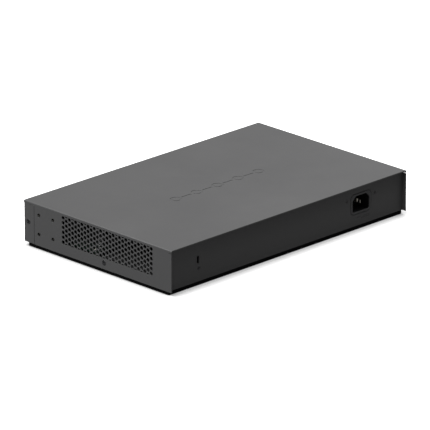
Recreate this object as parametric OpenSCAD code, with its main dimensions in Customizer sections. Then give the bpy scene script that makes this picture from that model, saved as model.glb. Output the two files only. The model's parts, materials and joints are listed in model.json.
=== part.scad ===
// Desktop network switch: folded steel case, 24 network jacks, mains supply and two side fans.
// The front faces -Y, the rear faces +Y, and the feet stand on z = 0.

/* [Case] */
// Width of the case, side to side
case_w = 330; // [320:1:340]
// Depth of the case, front to rear
case_d = 207; // [205:0.5:212]
// Height of the case without its feet
case_h = 43.2; // [43:0.1:44.4]
// Height of the steel case above the surface that it stands on
foot_h = 4; // [3:0.5:6]
// Depth of the black moulded plate under the case
plate_h = 3.7; // [2:0.1:3.8]
// Thickness of the folded steel sheet
sheet = 1; // [0.8:0.1:1.2]
// How far the cover stands past the rear panel
rear_overhang = 4.8; // [3:0.1:6]
// How far the front bezel reaches back along each side
bezel_reach = 14.8; // [14:0.1:16]
// Width of the seam between bezel and cover
seam = 0.5; // [0.3:0.1:0.8]

/* [Vents] */
// Diameter of a vent hole
vent_d = 4.1; // [3:0.1:4.2]
// Distance from one column of vent holes to the next
vent_step = 4.4; // [4.3:0.05:4.5]
// Columns of vent holes on each side
vent_cols = 29; // [9:2:31]
// Position of the vents' middle column along the case
vent_y = 14.1; // [10:0.1:18]
// Height of the vents' middle above the underside
vent_mid = 25.6; // [25:0.1:26]

/* [Rack ears] */
// Distance between the ear holes, both ways
ear_pitch = 20; // [16:0.5:24]
// Diameter of an ear hole, for an M4 screw
ear_hole_d = 4.2; // [3.4:0.1:4.4]
// Position of the ear holes' centre along the case
ear_y = -72.2; // [-74:0.1:-70]
// Height of the ear holes' centre above the underside
ear_mid = 21.9; // [20:0.1:23]

/* [Mains inlet] */
// Position of the inlet across the rear panel
inlet_x = -104.3; // [-108:0.1:-100]
// Height of the inlet's centre above the underside
inlet_mid = 23; // [21:0.1:24]
// Width of the inlet's rim
inlet_w = 28.6; // [27.4:0.1:29]
// Height of the inlet's rim
inlet_h = 21; // [20.6:0.1:21.4]
// Height of the inlet's two screws above its centre
inlet_screw_rise = 5.6; // [0:0.1:6]

/* [Lock slot] */
// Position of the lock slot across the rear panel
lock_x = 124; // [110:0.5:134]
// Height of the lock slot's centre above the underside
lock_mid = 22.6; // [21:0.1:24]

/* [Network jacks] */
// Distance from one jack to the next
jack_step = 13.97; // [13.9:0.01:14.2]
// Distance from one bank of jacks to the next
bank_step = 62; // [60:0.5:64]
// Position of the middle bank across the front
bank_x = 52; // [48:0.5:56]
// Travel of the mode button
button_travel = 0.8; // [0.4:0.1:0.9]

/* [Fans] */
// Side of a square fan frame
fan_size = 40; // [38:1:40]
// Depth of a fan frame
fan_depth = 20; // [15:1:20]
// Blades on each fan rotor
fan_blades = 7; // [5:1:9]

/* [Hidden] */
$fn = 48;
eps = 0.01;
gap = 0.2; // play between fitted pieces of the case

half_w = case_w / 2;
half_d = case_d / 2;
under_z = foot_h; // underside of the case
top_z = foot_h + case_h;
wall_in = half_w - sheet; // inner face of the cover's side walls
pan_half = wall_in - gap; // outer face of the pan's side flanges
rear_y = half_d - rear_overhang; // outer face of the rear panel
pan_front_y = -half_d + 5; // outer face of the pan's front wall
seam_y = -half_d + bezel_reach; // front end of the cover's side walls
lip_h = 2.6; // cover strip that runs on over the bezel
bezel_low = under_z + 0.3; // lower edge of the bezel
floor_z = under_z + sheet; // inside of the pan's floor
fold_r = 1;

// ---------- shared shapes ----------
// box from its lowest corner to its highest corner
module span(low, high) { translate(low) cube(high - low); }
// cylinders whose axes run along x or y, starting at a point
module rod_x(p, r, length) { translate(p) rotate([0, 90, 0]) cylinder(r = r, h = length); }
module rod_y(p, r, length) { translate(p) rotate([-90, 0, 0]) cylinder(r = r, h = length); }
module rod_z(p, r, length) { translate(p) cylinder(r = r, h = length); }
// flat rectangle with true rounded corners
module rounded(w, h, r) {
    translate([r, 0]) square([w - 2 * r, h]);
    translate([0, r]) square([w, h - 2 * r]);
    for (x = [r, w - r], y = [r, h - r]) translate([x, y]) circle(r);
}
// the same outline drawn in the x-z plane and pushed along +y
module push_y(y0, length) {
    translate([0, y0 + length, 0]) rotate([90, 0, 0]) linear_extrude(length) children();
}
// an outline drawn in the y-z plane and pushed along +x
module push_x(x0, length) { translate([x0, 0, 0]) rotate([90, 0, 90]) linear_extrude(length) children(); }

// countersunk screw along +z from its head's face at z = 0 downwards, with a cross recess
screw_r = 1.5;
head_r = 2.8;
head_h = 1;
play = 0.08; // radial play of a screw in its hole
module countersunk_screw(length) {
    recess = 0.6;
    difference() {
        union() {
            translate([0, 0, -head_h]) cylinder(r1 = screw_r, r2 = head_r, h = head_h);
            translate([0, 0, -length]) cylinder(r = screw_r, h = length - head_h);
        }
        for (turn = [0, 90]) rotate(turn)
            translate([-head_r * 0.6, -0.4, -recess]) cube([head_r * 1.2, 0.8, recess + 1]);
    }
}
module countersink(length) {
    translate([0, 0, -head_h]) cylinder(r1 = screw_r + play, r2 = head_r + play, h = head_h);
    translate([0, 0, -length]) cylinder(r = screw_r + play, h = length);
}
// screw places on the two sides: children point out of the side
module on_sides(y, z) {
    for (side = [-1, 1]) translate([side * half_w, y, z]) rotate([0, side * 90, 0]) children();
}

cover_screw_y = 9.8;
cover_screw_z = under_z + 6.5;
bezel_screw_y = -97.3;
bezel_screw_z = under_z + 21.6;
ear_points = [for (y = [-1, 1], z = [-1, 1])
    [ear_y + y * ear_pitch / 2, under_z + ear_mid + z * ear_pitch / 2]];

// ---------- case ----------
module vent_outline() {
    row = 2 * vent_step / sqrt(3);
    rows = 6;
    mid_col = (vent_cols - 1) / 2;
    field_w = vent_cols * vent_step;
    field_h = (rows - 0.2) * row;
    translate([vent_y, under_z + vent_mid]) intersection() {
        translate([-field_w / 2, -field_h / 2]) square([field_w, field_h]);
        for (i = [0 : vent_cols - 1]) let (last = rows - (i % 2 == 0 ? 1 : 0)) for (j = [0 : last])
            translate([(i - mid_col) * vent_step, (j - last / 2) * row]) circle(d = vent_d);
    }
}
module cover_side() {
    slit = [3.5, 0.7];
    difference() {
        translate([seam_y, under_z]) square([half_d - seam_y, case_h - lip_h]);
        vent_outline();
        for (p = ear_points) translate(p) circle(d = ear_hole_d);
        translate([half_d - slit[0], top_z - lip_h - slit[1]]) square(slit + [1, 0]);
    }
}
// five shallow rings joined by bars, pressed into the top
module top_mark() {
    ring_r = 6;
    stroke = 2;
    step = 29;
    bar_gap = 2;
    bar = step - 2 * (ring_r + bar_gap);
    for (i = [-2 : 2]) translate([i * step, 0]) difference() {
        circle(ring_r);
        circle(ring_r - stroke);
    }
    for (i = [-2 : 1]) translate([i * step + ring_r + bar_gap, -stroke / 2]) square([bar, stroke]);
}
module top_cover() {
    mark_depth = 0.35;
    mark_y = 1.5;
    color([0.3, 0.3, 0.31]) difference() {
        union() {
            push_y(-half_d, case_d) difference() {
                translate([-half_w, top_z - lip_h]) {
                    translate([fold_r, 0]) square([case_w - 2 * fold_r, lip_h]);
                    square([case_w, lip_h - fold_r]);
                    for (x = [fold_r, case_w - fold_r]) translate([x, lip_h - fold_r]) circle(fold_r);
                }
                translate([-wall_in, top_z - lip_h - 1]) square([2 * wall_in, lip_h + 1 - sheet]);
            }
            for (x = [-half_w, wall_in]) push_x(x, sheet) cover_side();
        }
        on_sides(cover_screw_y, cover_screw_z) countersink(2 * sheet);
        translate([0, mark_y, top_z - mark_depth]) linear_extrude(1) top_mark();
    }
}

// places of the boards' standoffs
standoff_h = 5;
board_z = floor_z + standoff_h; // underside of both boards
board_t = 1.6;
parts_z = board_z + board_t; // top of both boards
main_low = [-126, -96.8];
main_high = [152, -14];
psu_low = [-134, 5];
psu_high = [-30, 66];
inset = 5;
main_xs = [main_low[0] + inset, 21, main_high[0] - inset];
main_ys = [-73, main_high[1] - inset];
main_holes = [for (x = main_xs, y = main_ys) [x, y]];
psu_xs = [psu_low[0] + inset, psu_high[0] - inset];
psu_ys = [psu_low[1] + inset, psu_high[1] - inset];
psu_holes = [for (x = psu_xs, y = psu_ys) [x, y]];
board_holes = concat(main_holes, psu_holes);

// banks of jacks
bank_w = 57.6;
bank_h = 26;
bank_depth = 25;
bank_play = 0.3;
bank_front = -half_d + gap;
banks = [for (i = [-1 : 1]) bank_x + i * bank_step];
pipe_z = under_z + 37;
pipe = 2; // side of a square light pipe
pipe_play = 0.1;
pipe_apart = 3.2; // each pipe from the middle of its jack
pipe_xs = [for (x = banks, i = [-1.5 : 1.5], s = [-1, 1]) x + i * jack_step + s * pipe_apart];
module bank_window(x, y0, depth) {
    span([x - bank_w / 2 - bank_play, y0, parts_z - bank_play],
        [x + bank_w / 2 + bank_play, y0 + depth, parts_z + bank_h + bank_play]);
}
button_x = -112;
button_z = parts_z + 3.6;
button_r = 2.5;
stem_r = 1.5;
stem_play = 0.06;
status_xs = [-100, -94, -88];
status_r = 1.2;

lock_slot = [3.2, 7.6];
lock_screw = [lock_x - 1, under_z + 13.5];
lock_screw_size = 0.75; // against the case's other screws
module lock_outline(grow) {
    translate([lock_x - lock_slot[0] / 2 - grow, under_z + lock_mid - lock_slot[1] / 2 - grow])
        rounded(lock_slot[0] + 2 * grow, lock_slot[1] + 2 * grow, 0.6);
}
module on_rear(x, z) { translate([x, rear_y, z]) rotate([-90, 0, 0]) children(); }
inlet_z = under_z + inlet_mid;
inlet_screw_apart = 40;
inlet_screw_xs = [inlet_x - inlet_screw_apart / 2, inlet_x + inlet_screw_apart / 2];
screw_z = inlet_z + inlet_screw_rise;
rim_r = 4.5;
inlet_play = 0.6; // open line between the rim and the rear panel
cavity = [24, 17];
cavity_cut = 4.6;
module rim_outline(grow) {
    translate([-inlet_w / 2 - grow, -inlet_h / 2 - grow])
        rounded(inlet_w + 2 * grow, inlet_h + 2 * grow, rim_r + grow);
}
// cavity of the inlet: its two upper corners are cut off
module cavity_outline() {
    w = cavity[0] / 2;
    h = cavity[1] / 2;
    corner = 1.2;
    polygon([[-w + corner, -h], [w - corner, -h], [w, -h + corner], [w, h - cavity_cut],
        [w - cavity_cut, h], [-w + cavity_cut, h], [-w, h - cavity_cut], [-w, -h + corner]]);
}
earth_spot = [-72, 84];
stud_r = 2;

module base_pan() {
    flange_h = 9;
    ear_back = -52;
    ear_top = top_z - 3.2;
    tab = [[-102.2, under_z + 15], [pan_front_y + sheet, under_z + 28]];
    rear_top = top_z - sheet - gap;
    top_flange = 9;
    color([0.16, 0.16, 0.165]) difference() {
        union() {
            span([-pan_half, pan_front_y, under_z], [pan_half, rear_y, floor_z]);
            span([-pan_half, rear_y - sheet, floor_z], [pan_half, rear_y, rear_top]);
            span([-pan_half, rear_y - top_flange, rear_top - sheet], [pan_half, rear_y - sheet, rear_top]);
            span([-pan_half, pan_front_y, floor_z], [pan_half, pan_front_y + sheet, ear_top]);
            for (x = [-pan_half, pan_half - sheet]) push_x(x, sheet) {
                translate([pan_front_y + sheet, floor_z])
                    square([rear_y - pan_front_y - 2 * sheet, flange_h - sheet]);
                translate([pan_front_y + sheet, floor_z])
                    square([ear_back - pan_front_y - sheet, ear_top - floor_z]);
                translate(tab[0]) square(tab[1] - tab[0]);
            }
        }
        // notches behind the bezel screws
        for (side = [-1, 1]) translate([side * (pan_half - sheet - 3), pan_front_y, bezel_screw_z])
            cube([6, 4, 8], center = true);
        for (x = banks) bank_window(x, pan_front_y - 1, sheet + 2);
        for (x = banks) span([x - bank_w / 2, pan_front_y - 1, pipe_z - pipe],
            [x + bank_w / 2, pan_front_y + 2, pipe_z + pipe]);
        rod_y([button_x, pan_front_y - 1, button_z], stem_r + stem_play, sheet + 2);
        span([status_xs[0] - 2, pan_front_y - 1, button_z - 2],
            [status_xs[2] + 2, pan_front_y + 2, button_z + 2]);
        on_sides(cover_screw_y, cover_screw_z) cylinder(r = screw_r + play, h = 20, center = true);
        on_sides(bezel_screw_y, bezel_screw_z) cylinder(r = screw_r + play, h = 20, center = true);
        for (p = ear_points) rod_x([-half_w, p[0], p[1]], ear_hole_d / 2, case_w);
        // rear panel: inlet, lock slot and screws
        push_y(rear_y - 2, 4) translate([inlet_x, inlet_z]) rim_outline(inlet_play);
        for (x = inlet_screw_xs) on_rear(x, screw_z) countersink(3);
        on_rear(lock_screw[0], lock_screw[1]) scale(lock_screw_size) countersink(3);
        push_y(rear_y - 2, 4) lock_outline(0);
        rod_z([earth_spot[0], earth_spot[1], 0], stud_r + 0.05, 10);
    }
}
module front_bezel() {
    back = seam_y - seam;
    side_top = top_z - lip_h - gap;
    plate_top = top_z - sheet - gap;
    color([0.3, 0.3, 0.31]) difference() {
        union() {
            translate([0, 0, bezel_low]) linear_extrude(side_top - bezel_low) difference() {
                translate([-half_w, -half_d]) {
                    translate([0, fold_r]) square([case_w, back + half_d - fold_r]);
                    translate([fold_r, 0]) square([case_w - 2 * fold_r, fold_r]);
                    for (x = [fold_r, case_w - fold_r]) translate([x, fold_r]) circle(fold_r);
                }
                translate([-wall_in, -half_d + sheet]) square([2 * wall_in, case_d]);
            }
            span([-wall_in + gap, -half_d, side_top], [wall_in - gap, -half_d + sheet, plate_top]);
            for (z = [bezel_low, plate_top - sheet])
                span([-wall_in + gap, -half_d + sheet, z], [wall_in - gap, pan_front_y - gap, z + sheet]);
        }
        for (x = banks) bank_window(x, -half_d - 1, sheet + 2);
        for (x = pipe_xs) translate([x, -half_d, pipe_z])
            cube([pipe + 2 * pipe_play, 4 * sheet, pipe + 2 * pipe_play], center = true);
        for (x = status_xs) rod_y([x, -half_d - 1, button_z], status_r + pipe_play, sheet + 2);
        rod_y([button_x, -half_d - 1, button_z], button_r + 0.15, sheet + 2);
        on_sides(bezel_screw_y, bezel_screw_z) countersink(2 * sheet);
    }
}
foot_r = 7;
foot_inset = 24;
foot_seat = 1; // depth of the recess that holds a foot
plate_low = under_z - plate_h;
module at_feet() {
    for (x = [-1, 1], y = [-1, 1])
        translate([x * (half_w - foot_inset), y * (half_d - foot_inset), 0]) children();
}
// shallow tray: a skin with a rim all round and ribs that meet the steel pan
module bottom_plate() {
    skin = 1.4;
    rim = 2;
    plate_w = 2 * pan_half;
    plate_d = rear_y - pan_front_y;
    rib_step = 40;
    rib = 0.8; // half a rib's thickness
    color([0.03, 0.03, 0.03]) difference() {
        union() {
            translate([-pan_half, pan_front_y, plate_low]) {
                linear_extrude(skin) rounded(plate_w, plate_d, fold_r);
                linear_extrude(plate_h) difference() {
                    rounded(plate_w, plate_d, fold_r);
                    translate([rim, rim]) rounded(plate_w - 2 * rim, plate_d - 2 * rim, fold_r);
                }
            }
            for (x = [-3 * rib_step : rib_step : 3 * rib_step])
                span([x - rib, pan_front_y + 1, plate_low + 0.5], [x + rib, rear_y - 1, under_z]);
            for (y = [-1, 1]) span([-pan_half + 1, y * rib_step - rib, plate_low + 0.5],
                [pan_half - 1, y * rib_step + rib, under_z]);
            at_feet() translate([0, 0, plate_low]) cylinder(r = foot_r + 2, h = plate_h);
        }
        at_feet() translate([0, 0, plate_low - 1]) cylinder(r = foot_r + 0.1, h = foot_seat + 1);
        rod_z([earth_spot[0], earth_spot[1], plate_low + skin], 5, plate_h);
    }
}
module rubber_feet() {
    bevel = 0.4;
    color([0.06, 0.06, 0.06]) at_feet() {
        cylinder(r1 = foot_r - bevel, r2 = foot_r, h = bevel);
        translate([0, 0, bevel]) cylinder(r = foot_r, h = plate_low + foot_seat - bevel);
    }
}
module cover_screws() {
    color([0.2, 0.2, 0.2]) on_sides(cover_screw_y, cover_screw_z) countersunk_screw(3.6);
}
module bezel_screws() {
    color([0.2, 0.2, 0.2]) on_sides(bezel_screw_y, bezel_screw_z) countersunk_screw(5);
}
module rack_ear_nuts() {
    nut_l = 2.5;
    nut_r = 3.6;
    color("silver") for (p = ear_points, side = [-1, 1]) difference() {
        rod_x([side * (pan_half - sheet) - (side > 0 ? nut_l : 0), p[0], p[1]], nut_r, nut_l);
        rod_x([-half_w, p[0], p[1]], ear_hole_d / 2, case_w);
    }
}
module lock_bracket() {
    plate_t = 1.5;
    inside = rear_y - sheet;
    low = under_z + 9;
    shelf_y = inside - 9;
    wing = [10, 23];
    color([0.1, 0.1, 0.1]) difference() {
        union() {
            span([lock_x - wing[0], inside - plate_t, low], [lock_x + wing[0], inside, low + wing[1]]);
            span([lock_x - wing[0], shelf_y, low + wing[1] - plate_t],
                [lock_x + wing[0], inside - plate_t, low + wing[1]]);
        }
        push_y(inside - plate_t - 1, plate_t + 2) lock_outline(0.8);
        rod_y([lock_screw[0], inside - 2 * plate_t, lock_screw[1]], (screw_r + play) * lock_screw_size,
            4 * plate_t);
    }
}
module lock_bracket_screw() {
    color([0.2, 0.2, 0.2]) on_rear(lock_screw[0], lock_screw[1])
        scale(lock_screw_size) countersunk_screw(6);
}

// ---------- mains inlet and its leads ----------
pin_step = 7; // live and neutral stand this far to each side of the earth pin
pin_low = inlet_z - 2.6;
earth_z = inlet_z + 1.4;
pin_size = [2, 4];
pin_play = 0.05;
cavity_back = rear_y + gap - 17;
body_back = cavity_back - 2.5;
tab_end = 71.4;
// place of each pin and how far its tip stands behind the rear panel
pins = [[inlet_x - pin_step, pin_low, 7], [inlet_x, earth_z, 4.5], [inlet_x + pin_step, pin_low, 7]];
module inlet_body() {
    flange = [50, 24, 3];
    color([0.08, 0.08, 0.085]) difference() {
        union() {
            push_y(body_back, rear_y + gap - body_back) translate([inlet_x, inlet_z]) rim_outline(0);
            push_y(rear_y - sheet - flange[2], flange[2])
                translate([inlet_x - flange[0] / 2, inlet_z - flange[1] / 2]) rounded(flange[0], flange[1], 3);
        }
        push_y(cavity_back, 20) translate([inlet_x, inlet_z]) cavity_outline();
        for (p = pins) translate([p[0], body_back, p[1]])
            cube([pin_size[0] + 2 * pin_play, 6, pin_size[1] + 2 * pin_play], center = true);
        for (x = inlet_screw_xs) rod_y([x, rear_y - 9, screw_z], screw_r + play, 10);
    }
}
module inlet_pins() {
    tip = 0.5;
    tab = [0.8, 6.3];
    color("silver") for (p = pins) {
        low_y = body_back - 0.5;
        high_y = rear_y - p[2];
        translate([p[0], 0, p[1]]) {
            span([-pin_size[0] / 2, low_y, -pin_size[1] / 2], [pin_size[0] / 2, high_y - tip, pin_size[1] / 2]);
            span([-pin_size[0] / 2 + tip / 2, high_y - tip, -pin_size[1] / 2 + tip],
                [pin_size[0] / 2 - tip / 2, high_y, pin_size[1] / 2 - tip]);
            span([-tab[0] / 2, tab_end, -tab[1] / 2], [tab[0] / 2, low_y, tab[1] / 2]);
        }
    }
}
module inlet_screws() {
    color([0.16, 0.16, 0.165]) for (x = inlet_screw_xs) on_rear(x, screw_z) countersunk_screw(8);
}

// tube along hand-chosen points, rounded into one smooth curve and swept as rings
function mix(a, b, t) = a + (b - a) * t;
function bend(a, b, c, t) = mix(mix(a, b, t), mix(b, c, t), t);
function smooth(p, n = 4) = let (last = len(p) - 1) concat([p[0]],
    [for (i = [1 : last - 1], k = [0 : n]) if (k > 0 || i == 1) bend(mix(p[i - 1], p[i], i == 1 ? 0.4 : 0.5),
        p[i], mix(p[i], p[i + 1], i == last - 1 ? 0.6 : 0.5), k / n)],
    [p[last]]);
function unit(v) = v / norm(v);
function ring(c, along, r, sides) = let (a = unit(along),
    side = unit(cross(a, abs(a[0]) > 0.9 ? [0, 1, 0.3] : [1, 0.3, 0.1])), up = cross(side, a))
    [for (k = [0 : sides - 1]) c + r * (cos(360 * k / sides) * side + sin(360 * k / sides) * up)];
module lead(points, r, sides = 8) {
    p = smooth(points);
    n = len(p);
    rings = [for (i = [0 : n - 1]) each ring(p[i], p[min(i + 1, n - 1)] - p[max(i - 1, 0)], r, sides)];
    walls = [for (i = [0 : n - 2], k = [0 : sides - 1]) let (k2 = (k + 1) % sides, a = i * sides, b = a + sides)
        each [[a + k, a + k2, b + k2], [a + k, b + k2, b + k]]];
    ends = [[for (k = [sides - 1 : -1 : 0]) k], [for (k = [0 : sides - 1]) (n - 1) * sides + k]];
    polyhedron(rings, concat(walls, ends));
}
lead_r = 1.1;
input_top = parts_z + 10; // top of the supply's white connectors
input_xs = [-112, -106]; // neutral and live wires in the input connector
input_y = 54;
sleeve_back = tab_end - 4;
module sleeve(p) { // insulating sleeve over a spade tab, with room for the tab
    half = [1.8, 4];
    room = [0.5, 3.25];
    difference() {
        span([p[0] - half[0], sleeve_back, p[1] - half[1]], [p[0] + half[0], body_back - 0.8, p[1] + half[1]]);
        span([p[0] - room[0], tab_end - 0.1, p[1] - room[1]], [p[0] + room[0], body_back, p[1] + room[1]]);
    }
}
module pin_lead(p, points) {
    sleeve(p);
    lead(concat([[p[0], sleeve_back, p[1]], [p[0], sleeve_back - 4, p[1]]], points), lead_r);
}
// hand-placed bends of each lead between its pin and its far end
live_bends = [[-100, 57, 34], [-105, 54, 33], [input_xs[1], input_y, 27]];
neutral_bends = [[-113, 57, 34], [-113, 54, 33], [input_xs[0], input_y, 27]];
earth_bends = [[-102, 60, 38], [-90, 60, 36], [-74, 66, 22], [earth_spot[0], 70, 9]];
module live_lead() {
    color([0.4, 0.2, 0.1]) pin_lead(pins[2], concat(live_bends, [[input_xs[1], input_y, input_top]]));
}
module neutral_lead() {
    color([0.15, 0.3, 0.6]) pin_lead(pins[0], concat(neutral_bends, [[input_xs[0], input_y, input_top]]));
}
lug_z = floor_z + 2;
lug_t = 0.8;
lug_r = 4;
module earth_lead() {
    barrel = [4, 4, 3]; // wide, long, high
    barrel_y = earth_spot[1] - 10;
    left = earth_spot[0] - barrel[0] / 2;
    color([0.5, 0.6, 0.1]) {
        pin_lead(pins[1], concat(earth_bends, [[earth_spot[0], barrel_y, lug_z + barrel[2] / 2]]));
        difference() {
            union() {
                rod_z([earth_spot[0], earth_spot[1], lug_z], lug_r, lug_t);
                translate([left, barrel_y, lug_z]) cube([barrel[0], barrel[1] + 2, lug_t]);
                translate([left, barrel_y, lug_z]) cube(barrel);
            }
            rod_z([earth_spot[0], earth_spot[1], 0], stud_r + 0.1, lug_z + 2 * lug_t);
        }
    }
}
module earth_stud() {
    washer_r = 3.8;
    nut_h = 3;
    color("silver") {
        rod_z([earth_spot[0], earth_spot[1], under_z - gap], stud_r, 10);
        rod_z([earth_spot[0], earth_spot[1], floor_z], washer_r, lug_z - floor_z);
        translate([earth_spot[0], earth_spot[1], lug_z + lug_t]) cylinder(r = lug_r, h = nut_h, $fn = 6);
    }
}

// ---------- power supply ----------
module board(low, high, holes) {
    hole_r = 1.65;
    translate([0, 0, board_z]) linear_extrude(board_t) difference() {
        translate(low) square(high - low);
        for (h = holes) translate(h) circle(hole_r);
    }
}
module psu_board() { color([0.55, 0.42, 0.2]) board(psu_low, psu_high, psu_holes); }
module psu_insulator() {
    margin = 2;
    clear_r = 4; // room round each standoff
    film_z = floor_z + 1.5;
    film_t = 0.4;
    color([0.1, 0.1, 0.1]) translate([0, 0, film_z]) linear_extrude(film_t) difference() {
        translate(psu_low - [margin, -0.5]) square(psu_high - psu_low + [2 * margin, 0]);
        for (h = psu_holes) translate(h) circle(clear_r);
    }
}
core_at = [-76, 36];
core = [26, 30, 25];
core_lift = 3; // height of the core above its board
window = [20, 14];
module transformer_core() {
    color([0.2, 0.2, 0.2]) translate([core_at[0], core_at[1], parts_z + core_lift])
        difference() {
            translate([-core[0] / 2, -core[1] / 2, 0]) cube(core);
            translate([0, 0, core[2] / 2]) cube([core[0] + 2, window[0], window[1]], center = true);
        }
}
module transformer_winding() {
    long = core[0] + 6;
    base_h = core_lift - gap;
    color([0.85, 0.7, 0.15]) translate([core_at[0], core_at[1], parts_z]) {
        translate([0, 0, base_h / 2]) cube([long, core[1] - 6, base_h], center = true);
        translate([0, 0, core_lift + core[2] / 2])
            cube([long, window[0] - 2 * gap, window[1] - 2 * gap], center = true);
    }
}
bulk_places = [[-102, 18], [-102, 38]];
module bulk_capacitors() {
    color([0.1, 0.12, 0.16]) for (p = bulk_places) translate([p[0], p[1], parts_z]) can(9, 29);
}
// upright can with a rolled groove near its foot
module can(r, h) {
    groove = r * 0.1;
    rotate_extrude() polygon([[0, 0], [r - groove, 0], [r, groove], [r, h * 0.1], [r - groove, h * 0.13],
        [r, h * 0.16], [r, h - groove], [r - groove, h], [0, h]]);
}
output_cans = [[-42, 56, 5], [-42, 44, 5], [-34.5, 50, 3], [-42, 32, 5]]; // place and radius
module output_capacitors() {
    color([0.1, 0.12, 0.16]) for (p = output_cans) translate([p[0], p[1], parts_z]) can(p[2], 20);
}
sink_t = 3;
sink_h = 28;
sink_places = [[-90, 10, 30, 0], [-53, 54, 30, -90]]; // start, length and turn of each plate
module psu_heatsinks() {
    fin = [1.4, 2.6, sink_h - 3];
    fin_step = 4;
    color("silver") for (p = sink_places) translate([p[0], p[1], parts_z]) rotate(p[3]) {
        translate([0, -sink_t / 2, 0]) cube([p[2], sink_t, sink_h]);
        for (x = [1 : fin_step : p[2] - 3]) translate([x, sink_t / 2, sink_h - fin[2]]) cube(fin);
    }
}
module power_transistors() {
    body = [10, 4.5, 15];
    lift = 8;
    starts = [[0, 3], [0, 16], [1, 10]]; // plate and distance along it
    color([0.08, 0.08, 0.08]) for (t = starts)
        translate([sink_places[t[0]][0], sink_places[t[0]][1], parts_z + lift]) rotate(sink_places[t[0]][3])
            translate([t[1], -sink_t / 2 - body[1], 0]) cube(body);
}
module filter_choke() {
    mid_r = 8.5;
    ring_r = 4;
    turns = 14;
    groove_r = 0.6;
    color([0.7, 0.35, 0.12]) translate([-124, 26, parts_z + mid_r + ring_r]) rotate([0, 90, 0]) difference() {
        rotate_extrude() translate([mid_r, 0]) circle(ring_r);
        for (i = [0 : turns - 1]) rotate(i * 360 / turns) translate([mid_r + ring_r, 0, 0])
            cylinder(r = groove_r, h = 3 * ring_r, center = true, $fn = 24);
    }
}
module filter_capacitor() {
    color([0.8, 0.65, 0.1]) translate([-133, 42, parts_z]) cube([16, 9, 15]);
}
module line_fuse() {
    fuse_x = -88;
    fuse_y = 58;
    fuse_l = 18;
    clip = [1.5, 6, 8];
    color("white") {
        rod_x([fuse_x, fuse_y, parts_z + 5], 2.5, fuse_l);
        for (x = [fuse_x - clip[0], fuse_x + fuse_l]) translate([x, fuse_y - clip[1] / 2, parts_z]) cube(clip);
    }
}
harness_x = [-52, -48, -44];
harness_y = 12;
// wire housing round a row of wires along x
module housing(xs, y, margin) {
    span([min(xs) - margin, y - 4, parts_z], [max(xs) + margin, y + 4, input_top]);
}
module psu_connectors() {
    color("white") {
        housing(input_xs, input_y, 4);
        housing(harness_x, harness_y, 3);
    }
}
header_y = -22;
harness_z = 33;
module supply_harness() {
    rise = 6;
    color([0.6, 0.1, 0.1]) for (x = harness_x)
        lead([[x, harness_y, input_top], [x, harness_y, input_top + rise], [x, harness_y - 6, harness_z],
            [x, header_y + 8, harness_z], [x, header_y, input_top + rise], [x, header_y, input_top]], lead_r);
}
module standoffs() {
    hex_r = 3.2;
    color("silver") for (h = board_holes) difference() {
        translate([h[0], h[1], floor_z]) cylinder(r = hex_r, h = standoff_h, $fn = 6);
        rod_z([h[0], h[1], floor_z - 1], screw_r + play, 10);
    }
}
module board_screws() {
    pan_head_r = 2.9;
    brim_h = 1.3;
    crown_h = 0.7;
    thread = 5;
    cross = [3.6, 0.8, 2];
    color("silver") for (h = board_holes) translate([h[0], h[1], parts_z]) difference() {
        union() {
            translate([0, 0, -thread]) cylinder(r = screw_r, h = thread);
            cylinder(r = pan_head_r, h = brim_h);
            translate([0, 0, brim_h]) cylinder(r1 = pan_head_r, r2 = pan_head_r - 0.9, h = crown_h);
        }
        for (turn = [0, 90]) rotate(turn) translate([-cross[0] / 2, -cross[1] / 2, 1]) cube(cross);
    }
}

// ---------- main board ----------
module main_board() { color([0.06, 0.25, 0.14]) board(main_low, main_high, main_holes); }
chip_at = [52, -40];
chip = [27, 27, 2.2];
module switch_chip() {
    color([0.1, 0.1, 0.1]) translate([chip_at[0] - chip[0] / 2, chip_at[1] - chip[1] / 2, parts_z]) cube(chip);
}
module switch_heatsink() {
    size = 40;
    base = 3;
    fins = 11;
    fin_t = 1.2;
    pitch = (size - fin_t) / (fins - 1);
    fin_h = 15;
    color([0.12, 0.12, 0.13]) translate([chip_at[0] - size / 2, chip_at[1] - size / 2, parts_z + chip[2]]) {
        cube([size, size, base]);
        for (i = [0 : fins - 1]) translate([i * pitch, 0, base]) cube([fin_t, size, fin_h]);
    }
}
// size of each kind of chip and its places
chip_kinds = [[[14, 14, 1.4], [[-14, -46], [100, -30], [122, -46]]], [[8, 14, 1.2], [[10, -34], [84, -46]]],
    [[6, 5, 1.5], [[-70, -40], [-90, -44], [-60, -64]]]];
module board_chips() {
    color([0.08, 0.08, 0.08])
        for (kind = chip_kinds, p = kind[1]) translate([p[0], p[1], parts_z]) cube(kind[0]);
}
module port_magnetics() {
    size = [24, 8, 6.4];
    apart = 14.5;
    color([0.07, 0.07, 0.07]) for (x = banks, s = [-1, 1])
        translate([x + s * apart - size[0] / 2, -71, parts_z]) cube(size);
}
board_can_places = [for (i = [0 : 3]) [-106 + i * 11, -26], [134, -26], [-34, -52]];
module board_capacitors() {
    color([0.5, 0.5, 0.52]) for (p = board_can_places) translate([p[0], p[1], parts_z]) can(4, 10);
}
module power_inductors() {
    size = [12, 12, 7];
    color([0.15, 0.15, 0.15]) for (p = [[-106, -52], [-86, -68], [-52, -52]]) translate([p[0], p[1], parts_z])
        linear_extrude(size[2]) rounded(size[0], size[1], 2);
}
fan_headers = [[-117, -44], [-117, -56]];
fan_header = [8, 6, 6];
module board_headers() {
    color("white") {
        housing(harness_x, header_y, 3);
        for (p = fan_headers)
            translate([p[0] - fan_header[0] / 2, p[1] - fan_header[1] / 2, parts_z]) cube(fan_header);
    }
}

// ---------- network jacks ----------
shell_t = 0.4;
plug_w = 11.8;
plug_h = 7.5;
mouth_deep = 14;
web = 1.5; // half the wall between the two rows
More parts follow.
